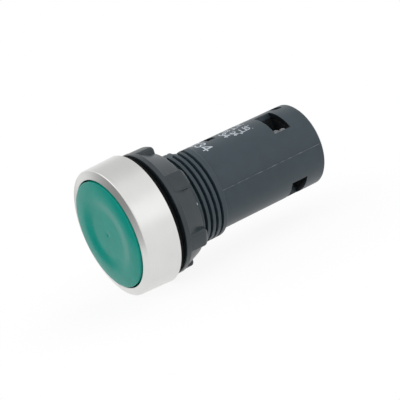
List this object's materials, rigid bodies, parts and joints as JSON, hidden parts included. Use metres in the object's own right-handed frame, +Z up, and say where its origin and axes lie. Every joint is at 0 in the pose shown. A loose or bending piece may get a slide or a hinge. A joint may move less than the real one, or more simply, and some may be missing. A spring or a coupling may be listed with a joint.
{
  "type": "panel pushbutton switch",
  "caption": "Round panel pushbutton switch: low dished green cap in a silver bezel, threaded barrel with a lobed fixing nut, and a cylindrical contact body with screw terminals.",
  "frame": {"origin": "on the axis, at the panel's front face (the gasket's rear face)", "axes": "+Y runs back along the axis from the button to the rear cover, +Z is up with the thread's indexing flat on top, +X is to the right as the button is seen"},
  "size_m": [0.0295, 0.0528, 0.0294],
  "materials": {
    "satin_silver": "satin",
    "green_plastic": "smooth, soft shine",
    "dark_grey_plastic": "moulded, fine grain",
    "black_rubber": "matt",
    "black_plastic": "moulded",
    "ivory_plastic": "moulded",
    "spring_steel": "drawn wire",
    "contact_brass": "stamped",
    "contact_silver": "riveted tips",
    "plated_steel": "bright plated"
  },
  "bodies": {
    "housing": {"bezel": "satin_silver", "barrel": "dark_grey_plastic", "stem_seal": "black_rubber", "panel_gasket": "black_rubber", "body_shell": "dark_grey_plastic", "rear_cover": "dark_grey_plastic", "contact_base": "black_plastic", "return_spring": "spring_steel", "make_upper_terminal": "contact_brass", "make_lower_terminal": "contact_brass", "make_fixed_tips": "contact_silver", "break_upper_terminal": "contact_brass", "break_lower_terminal": "contact_brass", "break_fixed_tips": "contact_silver", "clamp_plates": "plated_steel", "terminal_screws": "plated_steel"},
    "button": {"button_cap": "green_plastic", "plunger": "ivory_plastic", "make_spring": "spring_steel", "break_spring": "spring_steel"},
    "make_contact": {"make_bridge": "contact_brass", "make_bridge_tips": "contact_silver"},
    "break_contact": {"break_bridge": "contact_brass", "break_bridge_tips": "contact_silver"},
    "nut": {"fixing_nut": "dark_grey_plastic"}
  },
  "joints": [
    {"name": "button_press", "type": "slide", "parent": "housing", "child": "button", "axis": [0, 1, 0], "range_m": [0, 0.0043], "stiffness_N_per_m": 700, "springref_m": -0.004, "deforming": ["return_spring"]},
    {"name": "make_slide", "type": "slide", "parent": "button", "child": "make_contact", "axis": [0, 1, 0], "range_m": [-0.0017, 0], "deforming": ["make_spring"]},
    {"name": "break_slide", "type": "slide", "parent": "button", "child": "break_contact", "axis": [0, 1, 0], "range_m": [-0.0015, 0], "deforming": ["break_spring"]},
    {"name": "nut_slide", "type": "slide", "parent": "housing", "child": "nut", "axis": [0, 1, 0], "range_m": [0, 0.046]}
  ],
  "couplings": [
    {"joint": "make_slide", "follows": "button_press", "ratio": -0.3953},
    {"joint": "break_slide", "follows": "button_press", "ratio": -0.3488}
  ]
}
